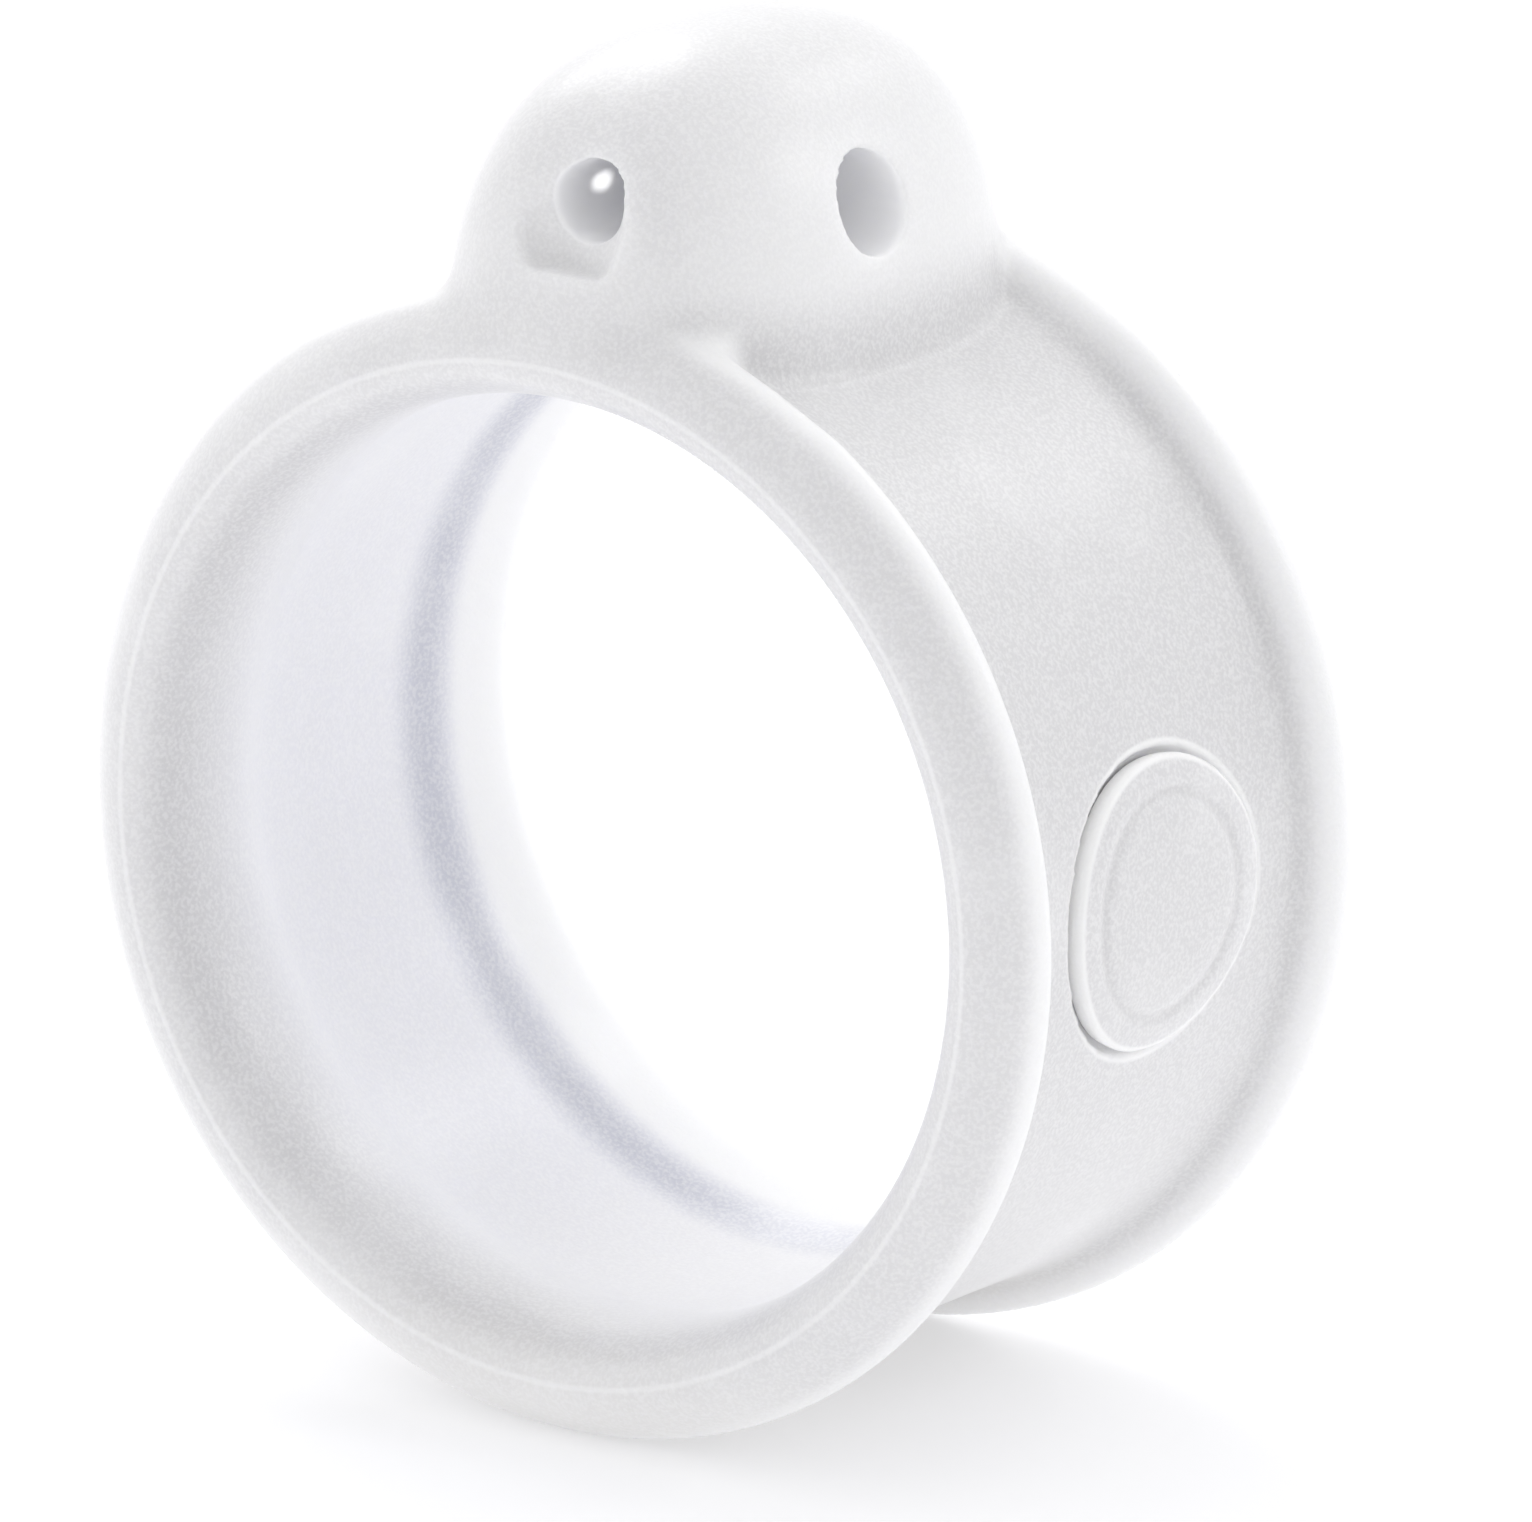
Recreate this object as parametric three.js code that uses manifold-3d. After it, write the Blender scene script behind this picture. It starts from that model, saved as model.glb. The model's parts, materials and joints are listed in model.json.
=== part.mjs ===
// Elastic retaining band, moulded in a frosted clear elastomer.
//
// A short sleeve with a thick rounded lip at each end grips a round body. On top of it stands a
// domed boss with two cord passages that cross inside it: one runs from side to side, and one
// runs from front to back between scooped mouths. A round badge sits in a shallow seat on the
// right side of the sleeve.
//
// Millimetres, +Z up. The band stands on its two lips, the boss on top. Its bore runs along Y,
// with the front at -Y. The origin is on the ground, below the middle of the sleeve.

import * as THREE from "three";
import { mergeVertices } from "three/addons/utils/BufferGeometryUtils.js";
import Module from "manifold-3d";

const wasm = await Module();
wasm.setup();

// ---------------------------------------------------------------- driving dimensions

const LIP_RADIUS = 20.2; // outside of the two lips
const BORE_RADIUS = 16.35; // inside of the two lips, the grip on the round body
const WAIST_RADIUS = 18.7; // outside of the sleeve between the lips
const WALL = 1.7; // wall of the sleeve
const HALF_WIDTH = 10.7; // middle of the sleeve to the crest of a lip
const CREST_RADIUS = 18; // where a lip's end face comes furthest out
const FOOT_FLATTENING = 0.06; // how far the soft lips flatten where they stand

const BOSS_HALF_LENGTH = 10.6; // along the bore, at the root
const BOSS_HALF_THICKNESS = 7.4; // across the band, at the root
const BOSS_TOP = 28.2; // above the bore's axis
const BOSS_PLAN_POWER = 2.7; // of its outline seen from above: 2 is an ellipse, more is squarer
const BOSS_FRONT_POWER = 2.3; // of its outline seen from the front
const BOSS_SIDE_POWER = 2.7; // of its outline seen from the side, which is flatter on top

const SIDE_PASSAGE_RADIUS = 1.8; // from side to side
const SIDE_PASSAGE_HEIGHT = 22.7; // above the bore's axis
const SIDE_PASSAGE_OFFSET = -0.5; // to the front of the middle
const LONG_PASSAGE_RADIUS = 1.5; // from front to back
const LONG_PASSAGE_HEIGHT = 23.6; // above the bore's axis
const LONG_PASSAGE_OFFSET = 1; // to the right of the middle
const SCOOP_RADIUS = 2.75; // of the hollow around a front or back mouth
const SCOOP_BOTTOM = 2.35; // from a mouth's middle down to the hollow's flat bottom
const SCOOP_DEPTH = 1.4;

const BADGE_RADIUS = 5.2;
const BADGE_PROUD = 0.45; // above the sleeve
const SEAT_DEPTH = 0.5; // of the badge's seat in the sleeve
const SEAT_GAP = 0.3; // all round the badge and below it

const RING_STEPS = 96; // facets round the band
const SMALL_STEPS = 24; // facets round a passage

const AXIS_HEIGHT = LIP_RADIUS * Math.cos(Math.PI / RING_STEPS) - FOOT_FLATTENING;
const SHELL_RADIUS = WAIST_RADIUS - WALL;

// ---------------------------------------------------------------- solids

function toSolid(geometry) {
  const plain = geometry.index ? geometry.toNonIndexed() : geometry.clone();
  plain.deleteAttribute("normal");
  plain.deleteAttribute("uv");
  const merged = mergeVertices(plain, 1e-4);
  const mesh = new wasm.Mesh({
    numProp: 3,
    vertProperties: new Float32Array(merged.attributes.position.array),
    triVerts: new Uint32Array(merged.index.array),
  });
  return new wasm.Manifold(mesh);
}

function toGeometry(solid) {
  const { vertProperties, triVerts, numProp } = solid.getMesh();
  const places = [];
  for (let i = 0; i < vertProperties.length; i += numProp) {
    places.push(vertProperties[i], vertProperties[i + 1], vertProperties[i + 2]);
  }
  const geometry = new THREE.BufferGeometry();
  geometry.setAttribute("position", new THREE.Float32BufferAttribute(places, 3));
  geometry.setIndex([...triVerts]);
  geometry.computeVertexNormals();
  return geometry;
}

// Turns a closed outline of [radius, y] points about the bore's axis, with a facet square to -Z.
function turned(outline, steps = RING_STEPS) {
  const points = outline.map(([radius, y]) => new THREE.Vector2(radius, y));
  const geometry = new THREE.LatheGeometry([...points, points[0]], steps);
  return toSolid(geometry.rotateY(Math.PI / steps));
}

// A solid of revolution about the line from `start` along `axis`, from [radius, distance] points.
function spunAlong(outline, start, axis, steps = SMALL_STEPS) {
  const points = outline.map(([radius, along]) => new THREE.Vector2(radius, along));
  const geometry = new THREE.LatheGeometry(points, steps);
  const turn = new THREE.Quaternion().setFromUnitVectors(new THREE.Vector3(0, 1, 0), axis);
  return toSolid(geometry.applyQuaternion(turn).translate(start.x, start.y, start.z));
}

// ---------------------------------------------------------------- band

// Half of the band's section, from the middle of the bore round a lip to the middle of the waist.
const halfSection = [
  [SHELL_RADIUS, 4.2],
  [SHELL_RADIUS - 0.3, 4.8],
  [BORE_RADIUS, 5.9],
  [BORE_RADIUS, HALF_WIDTH - 2.2],
  [BORE_RADIUS + 0.35, HALF_WIDTH - 1.1],
  [CREST_RADIUS - 0.7, HALF_WIDTH - 0.3],
  [CREST_RADIUS, HALF_WIDTH],
  [CREST_RADIUS + 0.8, HALF_WIDTH - 0.2],
  [LIP_RADIUS - 0.5, HALF_WIDTH - 1],
  [LIP_RADIUS, HALF_WIDTH - 1.7],
  [LIP_RADIUS, HALF_WIDTH - 2.3],
  [LIP_RADIUS - 0.45, HALF_WIDTH - 2.65],
  [WAIST_RADIUS + 0.35, HALF_WIDTH - 2.95],
  [WAIST_RADIUS, HALF_WIDTH - 3.6],
];

function makeSleeve() {
  const front = halfSection.map(([radius, y]) => [radius, -y]);
  const back = [...halfSection].reverse();
  return turned([...front, ...back]);
}

// How wide a rounded outline is at a height from -1 to 1: power 2 is a circle.
function widthAt(height, power) {
  return (1 - Math.min(1, Math.abs(height)) ** power) ** (1 / power);
}

// A sphere's rows of points, drawn out to the boss's three outlines.
function makeDome() {
  const sphere = new THREE.SphereGeometry(1, 40, 28).rotateX(Math.PI / 2);
  const corner = sphere.attributes.position;
  const bend = (value) => Math.sign(value) * Math.abs(value) ** (2 / BOSS_PLAN_POWER);
  for (let i = 0; i < corner.count; i += 1) {
    const height = corner.getZ(i);
    const level = Math.hypot(corner.getX(i), corner.getY(i)) || 1;
    const thick = BOSS_HALF_THICKNESS * widthAt(height, BOSS_FRONT_POWER);
    const long = BOSS_HALF_LENGTH * widthAt(height, BOSS_SIDE_POWER);
    const x = thick * bend(corner.getX(i) / level);
    const y = long * bend(corner.getY(i) / level);
    corner.setXYZ(i, x, y, SHELL_RADIUS + height * (BOSS_TOP - SHELL_RADIUS));
  }
  return toSolid(sphere);
}

function makeBore() {
  const reach = HALF_WIDTH + 2;
  const half = halfSection.slice(0, 6);
  const front = half.map(([radius, y]) => [radius, -y]).reverse();
  const throat = half[half.length - 1][0];
  return turned([[0, -reach], [throat, -reach], ...front, ...half, [throat, reach], [0, reach]]);
}

// Distance from the middle of the boss to its front or back face, at the passages' height.
function faceDistance() {
  const height = (LONG_PASSAGE_HEIGHT - SHELL_RADIUS) / (BOSS_TOP - SHELL_RADIUS);
  return BOSS_HALF_LENGTH * widthAt(height, BOSS_SIDE_POWER);
}

// A flared hollow with a flat bottom, opening towards +Y (end 1) or -Y (end -1).
function makeScoop(end) {
  const flare = 4;
  const bowl = [
    [0, 0],
    [LONG_PASSAGE_RADIUS + 0.1, 0],
    [SCOOP_RADIUS, SCOOP_DEPTH],
    [SCOOP_RADIUS + flare / 4, SCOOP_DEPTH + flare],
    [0, SCOOP_DEPTH + flare],
  ];
  const depth = end * (faceDistance() - SCOOP_DEPTH);
  const start = new THREE.Vector3(LONG_PASSAGE_OFFSET, depth, LONG_PASSAGE_HEIGHT);
  const below = new THREE.BoxGeometry(20, 40, 20);
  below.translate(0, 0, LONG_PASSAGE_HEIGHT - SCOOP_BOTTOM - 10);
  return spunAlong(bowl, start, new THREE.Vector3(0, end, 0)).subtract(toSolid(below));
}

function makePassages() {
  const reach = HALF_WIDTH + 3;
  const tube = (radius) => [[0, 0], [radius, 0], [radius, 2 * reach], [0, 2 * reach]];
  const sideStart = new THREE.Vector3(-reach, SIDE_PASSAGE_OFFSET, SIDE_PASSAGE_HEIGHT);
  const longStart = new THREE.Vector3(LONG_PASSAGE_OFFSET, -reach, LONG_PASSAGE_HEIGHT);
  return spunAlong(tube(SIDE_PASSAGE_RADIUS), sideStart, new THREE.Vector3(1, 0, 0))
    .add(spunAlong(tube(LONG_PASSAGE_RADIUS), longStart, new THREE.Vector3(0, 1, 0)))
    .add(makeScoop(1))
    .add(makeScoop(-1));
}

// The round plug of material between two radii, on the band's right side.
function sideDisc(radius, inner, outer) {
  const round = [[0, 0], [radius, 0], [radius, 2 * LIP_RADIUS], [0, 2 * LIP_RADIUS]];
  const plug = spunAlong(round, new THREE.Vector3(0, 0, 0), new THREE.Vector3(1, 0, 0), 48);
  const reach = radius + 1;
  const shell = turned([[inner, -reach], [outer, -reach], [outer, reach], [inner, reach]]);
  return plug.intersect(shell);
}

function makeBand() {
  const ground = toSolid(
    new THREE.BoxGeometry(60, 60, 10).translate(0, 0, -AXIS_HEIGHT - 5),
  );
  const seatFloor = WAIST_RADIUS - SEAT_DEPTH;
  const seat = sideDisc(BADGE_RADIUS + SEAT_GAP, seatFloor, WAIST_RADIUS + 2);
  return makeSleeve()
    .add(makeDome())
    .subtract(makeBore())
    .subtract(makePassages())
    .subtract(seat)
    .subtract(ground);
}

// ---------------------------------------------------------------- badge

// A plain round badge with one concentric groove, curved like the sleeve it sits on.
function makeBadge() {
  const under = WAIST_RADIUS - SEAT_DEPTH + SEAT_GAP;
  const face = WAIST_RADIUS + BADGE_PROUD;
  const disc = sideDisc(BADGE_RADIUS, under, face);
  const grooveOuter = BADGE_RADIUS * 0.78;
  const groove = sideDisc(grooveOuter, face - 0.2, face + 1);
  const island = sideDisc(grooveOuter - 0.5, under, face + 2);
  return disc.subtract(groove.subtract(island));
}

// ---------------------------------------------------------------- scene

const elastomer = new THREE.MeshStandardMaterial({
  name: "frosted_elastomer",
  color: "#e9e9ee",
  roughness: 0.5,
  metalness: 0,
});

function makeMesh(name, solid) {
  const mesh = new THREE.Mesh(toGeometry(solid), elastomer);
  mesh.name = name;
  return mesh;
}

const retainingBand = new THREE.Group();
retainingBand.name = "retaining_band";
retainingBand.position.z = AXIS_HEIGHT;
retainingBand.add(makeMesh("band", makeBand()));
retainingBand.add(makeMesh("side_badge", makeBadge()));

export default retainingBand;
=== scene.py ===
# %% [markdown]
# # A frosted elastic band with a cord boss
# The object is one soft moulding: a short sleeve with a thick rounded lip at each end, and a domed
# boss on top with cord passages through it. A round badge sits in a shallow seat on the side.
# The CAD frame holds the true sizes, so it is loaded first, and every size below comes from it.

# %% Load the frame
import json
import math

import bpy
from mathutils import Matrix, Vector


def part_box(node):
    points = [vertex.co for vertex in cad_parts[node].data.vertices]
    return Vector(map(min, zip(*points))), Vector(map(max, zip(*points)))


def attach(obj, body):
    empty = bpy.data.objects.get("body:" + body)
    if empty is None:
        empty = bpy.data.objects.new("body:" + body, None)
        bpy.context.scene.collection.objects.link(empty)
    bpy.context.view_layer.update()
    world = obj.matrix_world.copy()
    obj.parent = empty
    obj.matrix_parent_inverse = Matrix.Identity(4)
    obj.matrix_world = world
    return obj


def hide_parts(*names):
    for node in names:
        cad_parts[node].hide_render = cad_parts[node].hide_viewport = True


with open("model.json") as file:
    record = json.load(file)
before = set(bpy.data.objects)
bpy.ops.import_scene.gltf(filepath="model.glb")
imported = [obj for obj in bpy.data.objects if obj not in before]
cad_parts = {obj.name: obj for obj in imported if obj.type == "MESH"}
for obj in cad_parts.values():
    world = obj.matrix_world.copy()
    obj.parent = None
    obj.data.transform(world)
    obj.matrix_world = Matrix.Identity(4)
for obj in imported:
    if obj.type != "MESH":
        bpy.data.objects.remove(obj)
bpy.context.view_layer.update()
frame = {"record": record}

# %% [markdown]
# ## Sizes
# The bore's axis is where the record's grip mount is, and the lips' radius and the half width come
# from the band's box. The rest of the section is set from these, in millimetres. One helper turns
# a place given from the bore's axis into metres in the frame, which keeps the lists below readable.

# %% Driving sizes
MM = 0.001
band_low, band_high = [Vector(corner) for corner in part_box("band")]
mounts = {mount["name"]: mount for mount in frame["record"]["mounts"]}
AXIS_HEIGHT = mounts["grip_bore"]["pos_m"][2] / MM
LIP_RADIUS = (band_high.x - band_low.x) / 2 / MM
HALF_WIDTH = (band_high.y - band_low.y) / 2 / MM
BOSS_TOP = band_high.z / MM - AXIS_HEIGHT
BORE_RADIUS = LIP_RADIUS - 3.85
WAIST_RADIUS = LIP_RADIUS - 1.5
SHELL_RADIUS = WAIST_RADIUS - 1.7
CREST_RADIUS = LIP_RADIUS - 2.2


def at(x, y, height):
    """A place given in millimetres from the middle of the bore's axis, in metres."""
    return Vector((x, y, AXIS_HEIGHT + height)) * MM


print("axis height", round(AXIS_HEIGHT, 2), "lip radius", round(LIP_RADIUS, 2))
print("half width", round(HALF_WIDTH, 2), "boss top", round(BOSS_TOP, 2))

# %% [markdown]
# ## Camera
# A product shot of a small thing is taken from far away with a long lens, so that its far lip
# looks as large as the near one. The camera is placed by the way it looks at the band, and then
# swung a little about the bore's axis, because the boss leans slightly to the right.

# %% Place the camera
LENS = 470
DISTANCE = 681.4 * MM
AIM = at(5.1, -4.3, 3.55)
AZIMUTH = math.radians(36.67)
ELEVATION = math.radians(16.13)
BOSS_LEAN = math.radians(0.5)

level = Matrix.Rotation(AZIMUTH, 4, "Z") @ Matrix.Rotation(math.pi / 2 - ELEVATION, 4, "X")
stand_off = Matrix.Translation((0, 0, DISTANCE))
axis_middle = Matrix.Translation(at(0, 0, 0))
swing = axis_middle @ Matrix.Rotation(-BOSS_LEAN, 4, "Y") @ axis_middle.inverted()
bpy.ops.object.camera_add()
camera = bpy.context.object
camera.name = "camera"
camera.matrix_world = swing @ Matrix.Translation(AIM) @ level @ stand_off
camera.data.lens = LENS
camera.data.sensor_width = 36
camera.data.clip_end = 10
bpy.context.scene.camera = camera
print("camera at", [round(value, 3) for value in camera.matrix_world.translation])

# %% [markdown]
# ## Floor and light
# The floor is a plain white sweep that gives a little light of its own, so that it stays white
# and the shadow under the band stays faint. The surround is brighter above and behind. One large
# soft panel stands behind to the left, and two small ones behind and to the right put soft
# highlights on the boss. The standard view transform keeps white things white.

# %% Build the studio
def select_only(piece):
    """Make one object the only selected and active one."""
    for other in bpy.context.selected_objects:
        other.select_set(False)
    piece.select_set(True)
    bpy.context.view_layer.objects.active = piece


def soft_panel(name, place, size, watts):
    """A square, white area light aimed at the middle of the band."""
    bpy.ops.object.light_add(type="AREA", location=place)
    panel = bpy.context.object
    panel.name = name
    panel.data.size = size
    panel.data.energy = watts
    aim = at(0, 0, 0) - Vector(place)
    panel.rotation_euler = aim.to_track_quat("-Z", "Y").to_euler()


bpy.ops.mesh.primitive_plane_add(size=6, location=(0, 0, 0))
floor = bpy.context.object
floor.name = "floor"
floor_paint = bpy.data.materials.new("floor_paint")
floor_paint.use_nodes = True
floor_shader = floor_paint.node_tree.nodes["Principled BSDF"]
floor_shader.inputs["Base Color"].default_value = (0.76, 0.76, 0.77, 1)
floor_shader.inputs["Emission Color"].default_value = (1, 1, 1, 1)
floor_shader.inputs["Emission Strength"].default_value = 0.30
floor_shader.inputs["Roughness"].default_value = 1.0
floor_shader.inputs["Specular IOR Level"].default_value = 0.0
floor.data.materials.append(floor_paint)

BRIGHT_SIDE = Vector((-0.35, 0.6, 0.7)).normalized()
DIM_STRENGTH, BRIGHT_STRENGTH = 0.55, 1.12
world = bpy.data.worlds.new("studio")
world.use_nodes = True
surround = world.node_tree.nodes["Background"]
surround.inputs["Color"].default_value = (0.99, 0.99, 1.0, 1)
surround_nodes = world.node_tree.nodes
direction = surround_nodes.new("ShaderNodeTexCoord")
facing = surround_nodes.new("ShaderNodeVectorMath")
facing.operation = "DOT_PRODUCT"
facing.inputs[1].default_value = BRIGHT_SIDE
brightness = surround_nodes.new("ShaderNodeMapRange")
brightness.inputs["From Min"].default_value = -0.8
brightness.inputs["From Max"].default_value = 0.9
brightness.inputs["To Min"].default_value = DIM_STRENGTH
brightness.inputs["To Max"].default_value = BRIGHT_STRENGTH
wires = world.node_tree.links
wires.new(direction.outputs["Generated"], facing.inputs[0])
wires.new(facing.outputs["Value"], brightness.inputs["Value"])
wires.new(brightness.outputs["Result"], surround.inputs["Strength"])
bpy.context.scene.world = world
bpy.context.scene.view_settings.view_transform = "Standard"

soft_panel("top_panel", (-0.34, 0.22, 0.42), 0.30, 0.60)
soft_panel("shoulder_panel", (0.33, 0.28, 0.25), 0.12, 0.12)
soft_panel("ridge_panel", (0.10, 0.37, 0.32), 0.12, 0.08)

# %% [markdown]
# ## The sleeve and its lips
# On the real thing the sleeve is turned in the mould, so its section is the same all round. A
# tube could be extruded and bevelled into lips, but a spun section gives the lips' soft shape at
# once. A circle with one point for each corner of the section is laid onto it, and then spun.

# %% Spin the section
half_section = [
    (SHELL_RADIUS, 4.2),
    (SHELL_RADIUS - 0.3, 4.8),
    (BORE_RADIUS, 5.9),
    (BORE_RADIUS, HALF_WIDTH - 2.2),
    (BORE_RADIUS + 0.35, HALF_WIDTH - 1.1),
    (CREST_RADIUS - 0.7, HALF_WIDTH - 0.25),
    (CREST_RADIUS, HALF_WIDTH + 0.05),
    (CREST_RADIUS + 0.8, HALF_WIDTH - 0.15),
    (LIP_RADIUS - 0.5, HALF_WIDTH - 0.95),
    (LIP_RADIUS + 0.05, HALF_WIDTH - 1.7),
    (LIP_RADIUS + 0.05, HALF_WIDTH - 2.3),
    (LIP_RADIUS - 0.45, HALF_WIDTH - 2.65),
    (WAIST_RADIUS + 0.3, HALF_WIDTH - 2.95),
    (WAIST_RADIUS, HALF_WIDTH - 3.6),
]
section = [(radius, -y) for radius, y in half_section] + half_section[::-1]
SPIN_STEPS = 128


def apply_modifier(piece, name, kind, **settings):
    """Add a modifier to a piece, set it and apply it."""
    select_only(piece)
    modifier = piece.modifiers.new(name, kind)
    for key, value in settings.items():
        setattr(modifier, key, value)
    bpy.ops.object.modifier_apply(modifier=modifier.name)


bpy.ops.mesh.primitive_circle_add(vertices=len(section), radius=MM)
band = bpy.context.object
band.name = "band_body"
for vertex, (radius, y) in zip(band.data.vertices, section):
    vertex.co = at(radius, y, 0)
select_only(band)
bpy.ops.object.mode_set(mode="EDIT")
bpy.ops.mesh.select_all(action="SELECT")
bpy.ops.mesh.spin(steps=SPIN_STEPS, angle=2 * math.pi, center=at(0, 0, 0), axis=(0, 1, 0))
bpy.ops.mesh.select_all(action="SELECT")
bpy.ops.mesh.remove_doubles(threshold=0.001 * MM)
bpy.ops.mesh.normals_make_consistent(inside=False)
bpy.ops.object.mode_set(mode="OBJECT")
apply_modifier(band, "soften", "SUBSURF", levels=2, render_levels=2)
print("sleeve faces:", len(band.data.polygons))

# %% [markdown]
# ## The boss
# The boss is a rounded loaf: flatter along its top than across, and squarer than an ellipse seen
# from above. A sphere has the right rows of points, and each row is drawn out to three outlines.
# Its lower part would stand in the bore, so it is cut off inside the sleeve's wall.

# %% Shape the boss
BOSS_HALF_THICKNESS = 7.4
BOSS_HALF_LENGTH = HALF_WIDTH - 0.15
PLAN_POWER, FRONT_POWER, SIDE_POWER = 2.7, 2.3, 2.7


def width_at(height, power):
    """Half the width of a rounded outline at a height from -1 to 1. Power 2 is a circle."""
    return (1 - min(1, abs(height)) ** power) ** (1 / power)


def draw_out(value):
    """Push a direction's part outwards, so that an ellipse becomes squarer."""
    return math.copysign(abs(value) ** (2 / PLAN_POWER), value)


bpy.ops.mesh.primitive_uv_sphere_add(segments=96, ring_count=64, radius=1)
boss = bpy.context.object
boss.name = "boss"
for vertex in boss.data.vertices:
    x, y, height = vertex.co
    reach = math.hypot(x, y) or 1
    across = BOSS_HALF_THICKNESS * width_at(height, FRONT_POWER) * draw_out(x / reach)
    along = BOSS_HALF_LENGTH * width_at(height, SIDE_POWER) * draw_out(y / reach)
    vertex.co = at(across, along, SHELL_RADIUS + height * (BOSS_TOP - SHELL_RADIUS))
select_only(boss)
bpy.ops.object.mode_set(mode="EDIT")
bpy.ops.mesh.select_all(action="SELECT")
bpy.ops.mesh.bisect(
    plane_co=at(0, 0, SHELL_RADIUS + 0.1), plane_no=(0, 0, 1), use_fill=True, clear_inner=True
)
bpy.ops.mesh.select_all(action="SELECT")
bpy.ops.mesh.normals_make_consistent(inside=False)
bpy.ops.object.mode_set(mode="OBJECT")
print("boss vertices:", len(boss.data.vertices))

# %% [markdown]
# ## One moulding
# A union leaves a hard corner where boss and sleeve meet, and the real thing has a generous
# fillet there. Bevelling that edge would mean tidying a ragged loop by hand. A voxel remesh makes
# an even net of small faces instead, and smoothing only the vertices round the foot of the boss
# then melts the two shapes together, as soft material does in a mould.

# %% Join and melt
FILLET_ROUNDS = 45


def cut_or_join(piece, tool, operation):
    """Apply a boolean with a tool, and remove the tool."""
    apply_modifier(piece, "boolean", "BOOLEAN", object=tool, operation=operation, solver="EXACT")
    bpy.data.objects.remove(tool, do_unlink=True)


def group_by(piece, name, weight):
    """A vertex group whose weights come from each vertex's place, in millimetres from the axis."""
    group = piece.vertex_groups.new(name=name)
    for vertex in piece.data.vertices:
        x, y, z = vertex.co / MM
        group.add([vertex.index], weight(x, y, z - AXIS_HEIGHT), "REPLACE")
    return group.name


def fade(value, start, end):
    """0 before start, 1 after end, and a straight line between them."""
    return min(1, max(0, (value - start) / (end - start)))


def foot_of_boss(x, y, height):
    """1 in the corner between boss and sleeve, fading out up the boss and along the sleeve."""
    radius = math.hypot(x, height)
    outside = fade(radius, WAIST_RADIUS - 1, WAIST_RADIUS - 0.5)
    low = 1 - fade(radius, WAIST_RADIUS + 1.5, WAIST_RADIUS + 3.5)
    near = 1 - fade(abs(x), 9.5, 11)
    upper = 1 if height > 0 else 0
    return outside * low * near * upper


cut_or_join(band, boss, "UNION")
apply_modifier(band, "net", "REMESH", mode="VOXEL", voxel_size=0.22 * MM)
foot_group = group_by(band, "foot", foot_of_boss)
apply_modifier(
    band, "fillet", "SMOOTH", factor=0.6, iterations=FILLET_ROUNDS, vertex_group=foot_group
)
print("band faces after melting:", len(band.data.polygons))

# %% [markdown]
# ## Passages and seat
# The cord passages are left by round core pins, and the pin at the front and back has a flared
# end that leaves a scooped hollow with a flat bottom. So the cutters are those pins: a cylinder
# for each passage, and two flattened balls, cut off below, for each hollow. The badge's seat is the
# end of a wide cylinder, with a floor that follows the sleeve.

# %% Cut the passages
SIDE_PASSAGE = {"radius": 1.75, "height": 22.7, "offset": -0.5}
LONG_PASSAGE = {"radius": 1.4, "height": 23.6, "offset": 1.0}
RIM = {"radius": 2.0, "depth": 0.7, "across": 0.0, "drop": 0.0}
LOBE = {"radius": 2.3, "depth": 0.7, "across": -0.35, "drop": 0.6}
LOBE_BOTTOM = 2.3


def core_pin(radius, place, axis):
    """A long round cutter through a place along X or Y."""
    turn = (0, math.pi / 2, 0) if axis == "X" else (math.pi / 2, 0, 0)
    bpy.ops.mesh.primitive_cylinder_add(
        vertices=48, radius=radius * MM, depth=30 * MM, location=place, rotation=turn
    )
    return bpy.context.object


def face_distance(height):
    """From the middle of the boss to its front or back face, at a height above the axis."""
    part = (height - SHELL_RADIUS) / (BOSS_TOP - SHELL_RADIUS)
    return BOSS_HALF_LENGTH * width_at(part, SIDE_POWER)


def hollow(end, shape):
    """A flattened ball with a flat bottom, at the front (-1) or back (1) mouth."""
    height = LONG_PASSAGE["height"] - shape["drop"]
    across = LONG_PASSAGE["offset"] + shape["across"]
    place = at(across, end * (face_distance(height) + 0.2), height)
    bpy.ops.mesh.primitive_uv_sphere_add(segments=48, ring_count=32, radius=MM, location=place)
    ball = bpy.context.object
    ball.scale = (shape["radius"], shape["depth"] + 0.2, shape["radius"])
    bpy.ops.object.transform_apply(location=True, rotation=True, scale=True)
    bpy.ops.object.mode_set(mode="EDIT")
    bpy.ops.mesh.select_all(action="SELECT")
    floor_place = at(0, 0, LONG_PASSAGE["height"] - LOBE_BOTTOM)
    bpy.ops.mesh.bisect(plane_co=floor_place, plane_no=(0, 0, 1), use_fill=True, clear_inner=True)
    bpy.ops.object.mode_set(mode="OBJECT")
    return ball


side_place = at(0, SIDE_PASSAGE["offset"], SIDE_PASSAGE["height"])
long_place = at(LONG_PASSAGE["offset"], 0, LONG_PASSAGE["height"])
cut_or_join(band, core_pin(SIDE_PASSAGE["radius"], side_place, "X"), "DIFFERENCE")
cut_or_join(band, core_pin(LONG_PASSAGE["radius"], long_place, "Y"), "DIFFERENCE")
for end in (-1, 1):
    for shape in (RIM, LOBE):
        cut_or_join(band, hollow(end, shape), "DIFFERENCE")
print("faces after the passages:", len(band.data.polygons))

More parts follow.
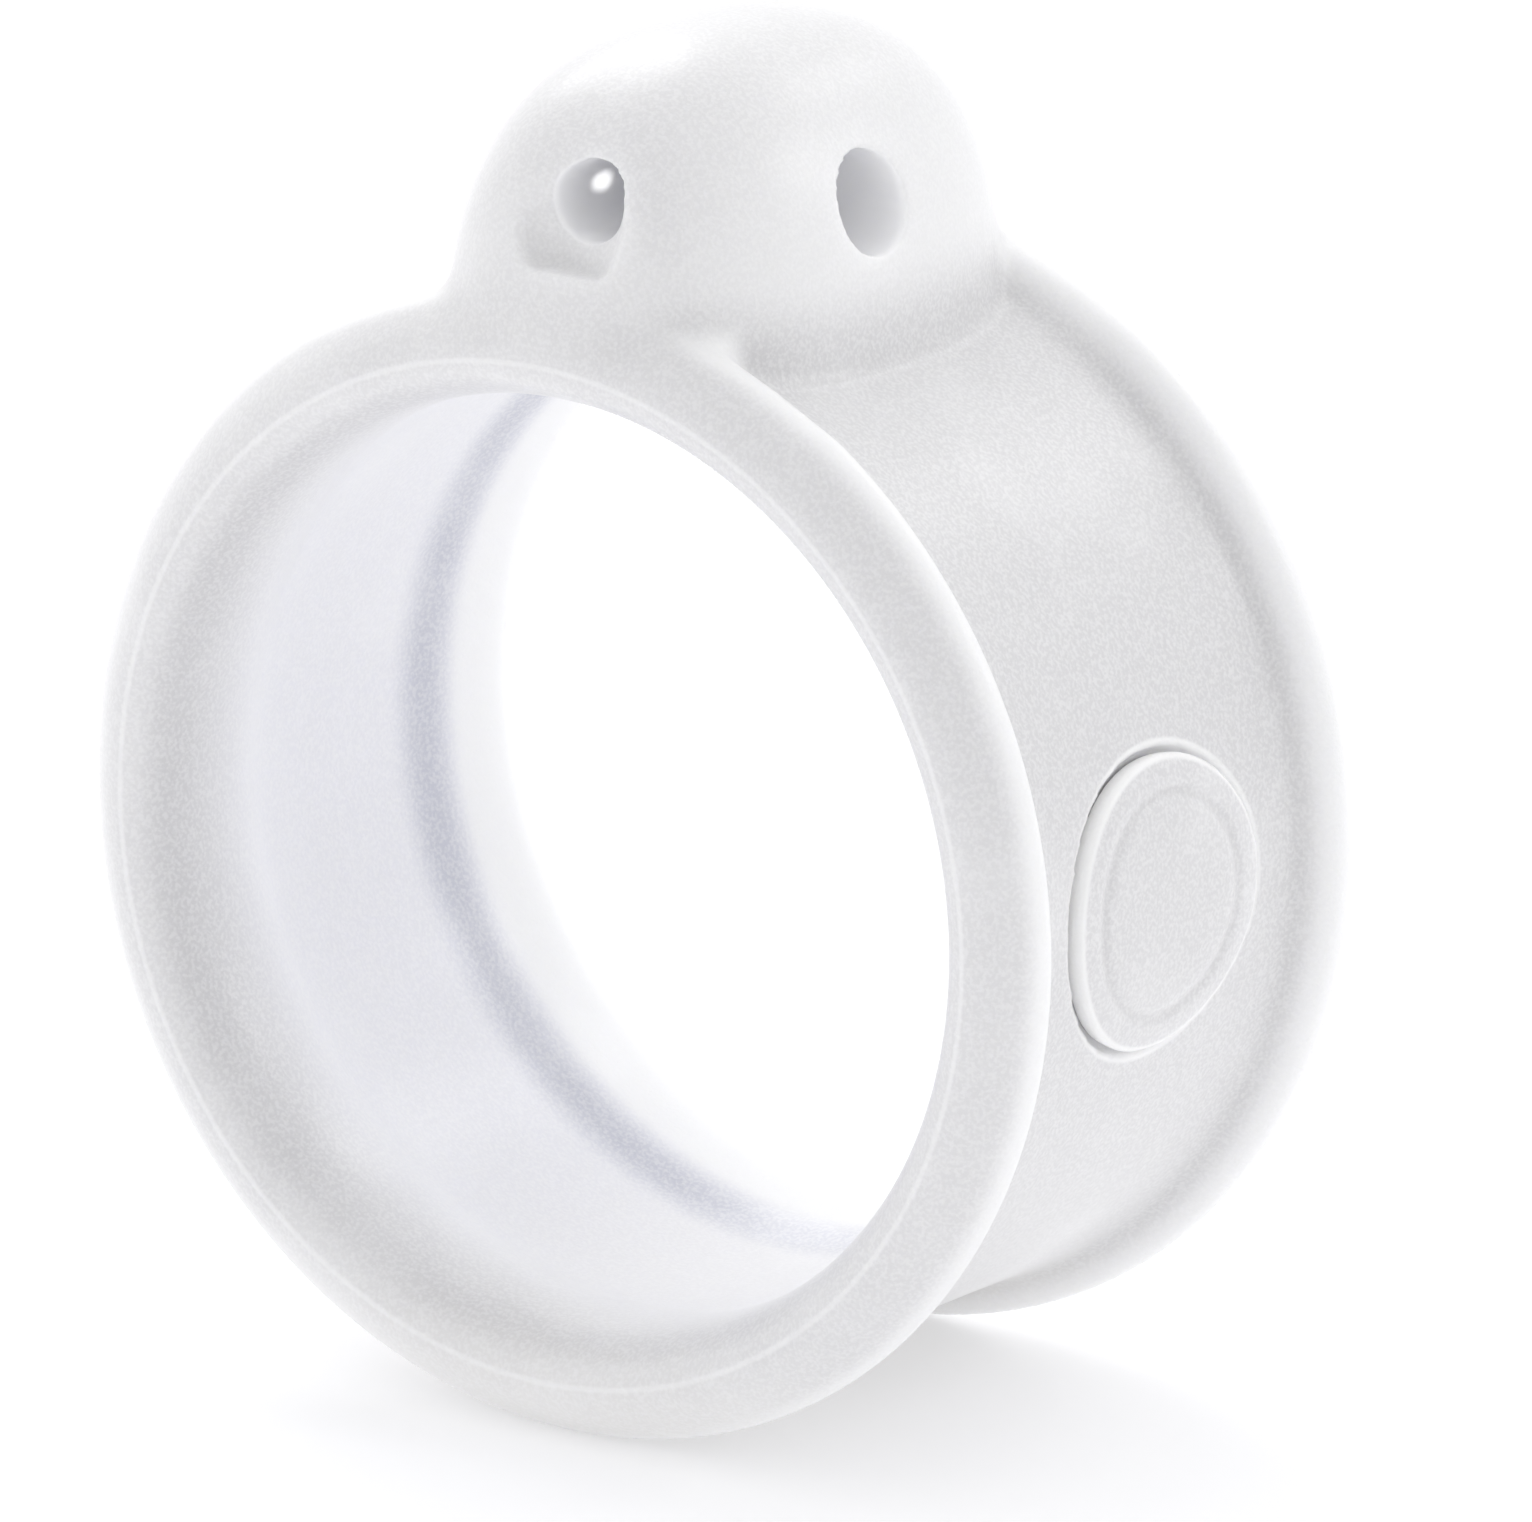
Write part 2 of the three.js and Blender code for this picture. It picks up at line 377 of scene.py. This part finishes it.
# %% Cut the badge's seat
BADGE_RADIUS = 5.2
SEAT_RADIUS = BADGE_RADIUS + 0.22
SEAT_FLOOR = WAIST_RADIUS - 0.5


def wrap_on_sleeve(piece):
    """Bend a flat piece round the bore's axis: its x becomes a radius, its height an arc."""
    for vertex in piece.data.vertices:
        radius, y, z = vertex.co / MM
        angle = (z - AXIS_HEIGHT) / WAIST_RADIUS
        vertex.co = at(radius * math.cos(angle), y, radius * math.sin(angle))


def disc_on_side(name, radius, inner, outer, rings):
    """A round plug along X between two radii, with rings of faces so that it can bend."""
    bpy.ops.mesh.primitive_cylinder_add(
        vertices=96, radius=radius * MM, depth=(outer - inner) * MM, end_fill_type="NGON",
        location=at((inner + outer) / 2, 0, 0), rotation=(0, math.pi / 2, 0),
    )
    disc = bpy.context.object
    disc.name = name
    bpy.ops.object.transform_apply(location=True, rotation=True, scale=True)
    bpy.ops.object.mode_set(mode="EDIT")
    bpy.ops.mesh.select_mode(type="FACE")
    bpy.ops.mesh.select_all(action="DESELECT")
    bpy.ops.object.mode_set(mode="OBJECT")
    for face in disc.data.polygons:
        face.select = abs(face.normal.x) > 0.9
    bpy.ops.object.mode_set(mode="EDIT")
    for step in range(rings):
        bpy.ops.mesh.inset(thickness=radius / (rings + 1) * MM, use_individual=True)
    bpy.ops.object.mode_set(mode="OBJECT")
    return disc


seat = disc_on_side("seat", SEAT_RADIUS, SEAT_FLOOR, SEAT_FLOOR + 4, 9)
wrap_on_sleeve(seat)
cut_or_join(band, seat, "DIFFERENCE")
print("faces after the seat:", len(band.data.polygons))

# %% [markdown]
# ## Soft edges
# A moulded elastomer has no knife edges. A second, finer remesh evens out the faces that the
# cutters left, and a few rounds of smoothing turn every rim into a small radius. The net is then
# thinned, because its faces are far smaller than anything that can be seen. The last cut, just
# above the floor, gives each lip the small flat that the band stands on.

# %% Soften and thin
apply_modifier(band, "fine net", "REMESH", mode="VOXEL", voxel_size=0.15 * MM)
apply_modifier(band, "round rims", "SMOOTH", factor=0.5, iterations=9)
TRIANGLES_WANTED = 180000
corner_count = sum(len(face.vertices) - 2 for face in band.data.polygons)
apply_modifier(band, "thin", "DECIMATE", ratio=min(1, TRIANGLES_WANTED / corner_count))
for group in list(band.vertex_groups):
    band.vertex_groups.remove(group)
select_only(band)
bpy.ops.object.mode_set(mode="EDIT")
bpy.ops.mesh.select_all(action="SELECT")
bpy.ops.mesh.bisect(
    plane_co=(0, 0, 0.002 * MM), plane_no=(0, 0, 1), use_fill=True, clear_inner=True,
    threshold=0.0001 * MM,
)
bpy.ops.object.mode_set(mode="OBJECT")
bpy.ops.object.shade_smooth()
print("band triangles:", sum(len(face.vertices) - 2 for face in band.data.polygons))

# %% [markdown]
# ## The badge
# The badge is a plain disc with one concentric groove, bent to the sleeve's curve. It starts as
# a flat cylinder, its face is inset into rings, one ring is pushed in for the groove, and the
# rim is bevelled. Bending comes last, because insets and bevels are easiest on a flat piece.

# %% Model the badge
BADGE_FACE = WAIST_RADIUS + 0.45
badge = disc_on_side("badge_disc", BADGE_RADIUS, SEAT_FLOOR + 0.06, BADGE_FACE, 15)
GROOVE_RADIUS, GROOVE_HALF_WIDTH, GROOVE_DEPTH = 3.9, 0.30, 0.16
for vertex in badge.data.vertices:
    x, y, z = vertex.co / MM
    height = z - AXIS_HEIGHT
    distance = math.hypot(y, height)
    if x > BADGE_FACE - 0.01:
        groove = max(0, 1 - (abs(distance - GROOVE_RADIUS) / GROOVE_HALF_WIDTH) ** 2)
        crown = 0.12 * (distance / BADGE_RADIUS) ** 4
        vertex.co = at(x - groove * GROOVE_DEPTH - crown, y, height)
wrap_on_sleeve(badge)
apply_modifier(
    badge, "rim", "BEVEL", width=0.22 * MM, segments=4, limit_method="ANGLE",
    angle_limit=math.radians(50),
)
apply_modifier(badge, "soften", "SUBSURF", levels=1, render_levels=1)
select_only(badge)
bpy.ops.object.shade_smooth()
print("badge faces:", len(badge.data.polygons))

# %% [markdown]
# ## Writing shader maths
# Node trees are easier to read as expressions. One small class wraps a socket, so that adding or
# multiplying two of them adds the Math node that does it, and any other node comes from one call.

# %% Socket expressions
class Wire:
    """A socket of a material, with the operators that the finishes below use."""

    def __init__(self, tree, socket):
        self.tree, self.socket = tree, socket

    def node(self, kind, settings=None, **inputs):
        """Add a node: its settings first, then values or links for its inputs, by name."""
        new = self.tree.nodes.new(kind)
        for key, value in (settings or {}).items():
            setattr(new, key, value)
        for key, value in inputs.items():
            socket = new.inputs[int(key[1:])] if key[1:].isdigit() else new.inputs[key]
            if isinstance(value, Wire):
                self.tree.links.new(value.socket, socket)
            else:
                socket.default_value = value
        return new

    def wire(self, node, output=0):
        return Wire(self.tree, node.outputs[output])

    def maths(self, operation, *values):
        inputs = {f"_{index}": value for index, value in enumerate(values)}
        return self.wire(self.node("ShaderNodeMath", {"operation": operation}, **inputs))

    def __add__(self, other):
        return self.maths("ADD", self, other)

    def __sub__(self, other):
        return self.maths("SUBTRACT", self, other)

    def __mul__(self, other):
        return self.maths("MULTIPLY", self, other)

    def __rsub__(self, other):
        return self.maths("SUBTRACT", other, self)

    __radd__, __rmul__ = __add__, __mul__

    def fade(self, start, end):
        """A smooth step from 0 at start to 1 at end."""
        steps = {"interpolation_type": "SMOOTHSTEP"}
        inputs = {"Value": self, "From Min": start, "From Max": end}
        return self.wire(self.node("ShaderNodeMapRange", steps, **inputs))


def mix_colours(mask, first, second):
    """The first colour where the mask is 0, the second where it is 1."""
    mixer = mask.node("ShaderNodeMix", {"data_type": "RGBA"}, _0=mask, _6=first, _7=second)
    return mask.wire(mixer, 2)


# %% [markdown]
# ## Where the finish changes, and where light and shade are painted
# The finish is the same material everywhere. Its skin is smoother where a core pin has polished it,
# and most other areas are painted light or painted shade: paler where light would gather in thin
# edges, come through the wall or bounce up from the floor, darker in one band where shade falls,
# and a painted glint in each front and back mouth. Each of these areas is a mask, 1 inside and 0
# outside, made from the distance to the bore's axis, to a passage or to the badge. The places are
# read in the object's own coordinates, in millimetres from the middle of the bore's axis.

# %% Map the areas
GLINT_DEPTH = 6.5


def millimetres(start, place):
    """The three parts of a place, in millimetres from the middle of the bore's axis."""
    centred = start.node("ShaderNodeMapping", None, Vector=place)
    centred.inputs["Location"].default_value = -at(0, 0, 0)
    split = start.node("ShaderNodeSeparateXYZ", None, Vector=start.wire(centred))
    return [start.wire(split, index) * (1 / MM) for index in range(3)]


def length(start, *parts):
    """How long the line with these parts is."""
    squares = [part * part for part in parts]
    return start.maths("SQRT", sum(squares[1:], squares[0]))


def passage_areas(start, x, y, z):
    """Masks for both passages' walls, also painted light, and a painted glint in the front and back
    mouths.
    """
    side_along, side_height = y - SIDE_PASSAGE["offset"], z - SIDE_PASSAGE["height"]
    long_across, long_height = x - LONG_PASSAGE["offset"], z - LONG_PASSAGE["height"]
    side_radius, long_radius = SIDE_PASSAGE["radius"], LONG_PASSAGE["radius"]
    side_core = 1 - length(start, side_along, side_height).fade(side_radius, side_radius + 0.15)
    long_core = 1 - length(start, long_across, long_height).fade(long_radius, long_radius + 0.15)
    # The passage walls are really smoother, and are also painted near white and given a faint glow
    # as painted light.
    core = start.maths("MAXIMUM", side_core, long_core)
    # Painted glint: a small glowing spot on the wall behind each front and back mouth.
    glint_depth = (start.maths("ABSOLUTE", y) - GLINT_DEPTH) * 0.6
    from_glint = length(start, long_across + long_radius, glint_depth, long_height)
    return {"core": core, "painted_glint": core * (1 - from_glint.fade(0.15, 0.5))}


def sleeve_areas(start, x, y, z):
    """Masks for painted light and shade on the sleeve's inside, lips, crest and lowest part."""
    radius, depth = length(start, x, z), start.maths("ABSOLUTE", y)
    inside = 1 - radius.fade(SHELL_RADIUS - 0.2, SHELL_RADIUS + 0.5)
    # Painted light: the lips' outer rims are painted paler, as light gathering in thin edges.
    rim = radius.fade(WAIST_RADIUS + 0.1, LIP_RADIUS - 0.4) * depth.fade(6.9, 7.8)
    rim = rim * (1 - depth.fade(9.0, 9.8)) * (1 - z.fade(LIP_RADIUS - 1, LIP_RADIUS))
    # The crest line is a small real ridge in the bump, and also carries a painted highlight.
    crest = 1 - start.maths("ABSOLUTE", radius - CREST_RADIUS).fade(0.03, 0.16)
    return {
        # Painted light: the inside is painted paler, as light coming through the sleeve's wall.
        "inside": inside * y.fade(-9.5, -4.5),
        # Painted shade: a darker blue-grey band on the slope before the back land.
        "painted_shade_slope": inside * y.fade(3.0, 4.6) * (1 - y.fade(5.0, 6.4)),
        # Painted light: the land inside the back lip is painted paler, as if lit from behind.
        "painted_light_land": inside * y.fade(5.4, 6.8),
        # Painted light: the lips' outer end faces are painted a little paler.
        "painted_light_lip_face": (1 - inside) * depth.fade(HALF_WIDTH - 2, HALF_WIDTH - 0.8),
        "rim": rim,
        "crest": crest * depth.fade(HALF_WIDTH - 1.2, HALF_WIDTH - 0.6),
        # Painted light: the lowest part is painted paler and warm, as light bounced up from the
        # floor.
        "low": 1 - z.fade(-LIP_RADIUS, -LIP_RADIUS + 6),
    }


def raised_areas(start, x, y, z):
    """Masks for painted light on the boss and its right side, and round the badge's edge."""
    # Painted light: the boss is painted paler, and its right side more so.
    boss = length(start, x, z).fade(LIP_RADIUS - 0.6, LIP_RADIUS + 2)
    from_badge = length(start, y, z)
    # Painted highlight: a pale line round the badge's edge.
    edge = from_badge.fade(BADGE_RADIUS - 0.3, BADGE_RADIUS - 0.1) * x.fade(5, 10)
    edge = edge * (1 - from_badge.fade(BADGE_RADIUS + 0.3, BADGE_RADIUS + 0.5))
    return {"boss": boss, "painted_light_boss_side": boss * x.fade(2.5, 7.5), "painted_highlight_badge_edge": edge}


# %% [markdown]
# ## Frosted elastomer
# Clear silicone out of a blasted mould is milky: light goes in, scatters and comes out again
# nearby, and the skin has a fine, even grain. Glass-like transmission would show the far side
# sharply, which the grain prevents, so the finish is mostly subsurface scattering, under a rough
# skin. Core pins are polished, so the passages are smoother than the rest; their walls are also
# painted near white and given a faint glow, as painted light. Painted light makes the lips' outer
# rims and end faces, the land inside the back lip, the boss and most of all its right side paler,
# with a painted highlight along the crest line's small ridge and round the badge's edge. The
# inside is painted paler and faintly cool, as light coming through the wall, with a painted shade
# band in blue-grey on the slope before that land. The lowest part is painted paler and faintly
# warm, as light bounced up from the floor. One small painted glint, a glowing spot, sits on the
# wall behind each of the front and back mouths, as light that comes through the clear boss would.

# %% Make the elastomer
MILKY = (0.68, 0.675, 0.683, 1)
# Painted light: the paler, faintly cool colour of the inside, for light through the wall.
INSIDE_PAINTED_LIGHT = (0.835, 0.836, 0.87, 1)
# Painted shade: the blue-grey of the shade band on the inner slope.
PAINTED_SHADE_BLUE_GREY = (0.60, 0.61, 0.68, 1)
# Painted light: the warm, pale colour of light bounced up from the floor.
WARM_PAINTED_BOUNCE_LIGHT = (0.83, 0.815, 0.79, 1)
# Pale colour for the real random tone of the grain, and for painted light on rims, faces, land,
# crest and boss.
WHITE = (0.93, 0.93, 0.93, 1)
# Painted light: near white, for the badge edge's highlight and the passage walls.
PAINTED_LIGHT_WHITE = (0.985, 0.985, 0.985, 1)
DARK = (0, 0, 0, 1)
# Painted light: a faint glow of the passage walls, as emission.
PAINTED_PASSAGE_GLOW = (0.02, 0.02, 0.025, 1)
# Painted glint: the glow of the small spot behind each front and back mouth.
PAINTED_GLINT_GLOW = (0.8, 0.8, 0.8, 1)
POLISHED_ROUGHNESS = 0.2


def elastomer(name, grain_height, skin_roughness):
    """A material with its grain height in metres and the roughness of its skin."""
    material = bpy.data.materials.new(name)
    material.use_nodes = True
    tree = material.node_tree
    shader = tree.nodes["Principled BSDF"]
    start = Wire(tree, None)
    place = Wire(tree, start.node("ShaderNodeTexCoord").outputs["Object"])
    x, y, z = millimetres(start, place)
    areas = sleeve_areas(start, x, y, z)
    areas.update(raised_areas(start, x, y, z))
    areas.update(passage_areas(start, x, y, z))

    def noise(scale, detail):
        made = start.node("ShaderNodeTexNoise", None, Vector=place, Scale=scale, Detail=detail)
        return start.wire(made)

    grain, speckle, cloud = noise(9500, 1.0), noise(7000, 1.0), noise(160, 3.0)

    # Painted light: the inside is painted paler and faintly cool, as light through the wall.
    colour = mix_colours(areas["inside"], MILKY, INSIDE_PAINTED_LIGHT)
    for mask, paint in (
        # painted bounce light from the floor on the lowest part
        (areas["low"] * 0.7, WARM_PAINTED_BOUNCE_LIGHT),
        # painted light on the lips' end faces
        (areas["painted_light_lip_face"] * 0.3, WHITE),
        # painted light on the lips' outer rims
        (areas["rim"] * 0.8, WHITE),
        # painted highlight along the crest ridge
        (areas["crest"] * 0.5, WHITE),
        # painted light on the land inside the back lip
        (areas["painted_light_land"] * 0.8, WHITE),
        # painted shade band on the inner slope
        (areas["painted_shade_slope"] * 0.85, PAINTED_SHADE_BLUE_GREY),
        # painted light on the boss
        (areas["boss"] * 0.3, WHITE),
        # painted light on the boss's right side
        (areas["painted_light_boss_side"] * 0.55, WHITE),
        # painted highlight round the badge's edge
        (areas["painted_highlight_badge_edge"], PAINTED_LIGHT_WHITE),
        (cloud.fade(0.45, 0.75) * 0.22, WHITE),
        (speckle.fade(0.35, 0.7) * 0.35, WHITE),
        # painted light: the passage walls are painted near white
        (areas["core"], PAINTED_LIGHT_WHITE),
    ):
        colour = mix_colours(mask, colour, paint)
    tree.links.new(colour.socket, shader.inputs["Base Color"])

    rough = skin_roughness + (grain - 0.5) * 0.25
    rough = rough - areas["core"] * (skin_roughness - POLISHED_ROUGHNESS)
    tree.links.new(rough.socket, shader.inputs["Roughness"])

    relief = (grain * 0.6 + speckle * 0.4) * (1 - areas["core"]) + areas["crest"] * 0.6
    bump = start.node("ShaderNodeBump", None, Height=relief, Strength=0.5, Distance=grain_height)
    tree.links.new(bump.outputs["Normal"], shader.inputs["Normal"])

    # Painted glow: the passage walls give a trace of light, as emission.
    glow = mix_colours(areas["core"], DARK, PAINTED_PASSAGE_GLOW)
    # Painted glint: a small glowing spot behind each front and back mouth, as emission.
    glow = mix_colours(areas["painted_glint"], glow, PAINTED_GLINT_GLOW)
    tree.links.new(glow.socket, shader.inputs["Emission Color"])

    shader.inputs["Emission Strength"].default_value = 1.0
    shader.inputs["IOR"].default_value = 1.41
    shader.inputs["Subsurface Weight"].default_value = 1.0
    shader.inputs["Subsurface Radius"].default_value = (1.0, 1.0, 1.05)
    shader.inputs["Subsurface Scale"].default_value = 0.9 * MM
    shader.inputs["Coat Weight"].default_value = 0.8
    shader.inputs["Coat Roughness"].default_value = 0.28
    shader.inputs["Sheen Weight"].default_value = 0.35
    shader.inputs["Sheen Roughness"].default_value = 0.45
    return material


frosted = elastomer("frosted_elastomer", 0.06 * MM, 0.55)
badge_finish = elastomer("badge_elastomer", 0.035 * MM, 0.45)
band.data.materials.clear()
band.data.materials.append(frosted)
badge.data.materials.clear()
badge.data.materials.append(badge_finish)

# %% [markdown]
# ## Put the pieces on the frame
# Both pieces ride on the only body, stand for their CAD nodes and take the record's finishes.

# %% Attach and finish
for piece, node, finish in (
    (band, "band", "frosted_elastomer"),
    (badge, "side_badge", "badge_elastomer"),
):
    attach(piece, "root")
    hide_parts(node)
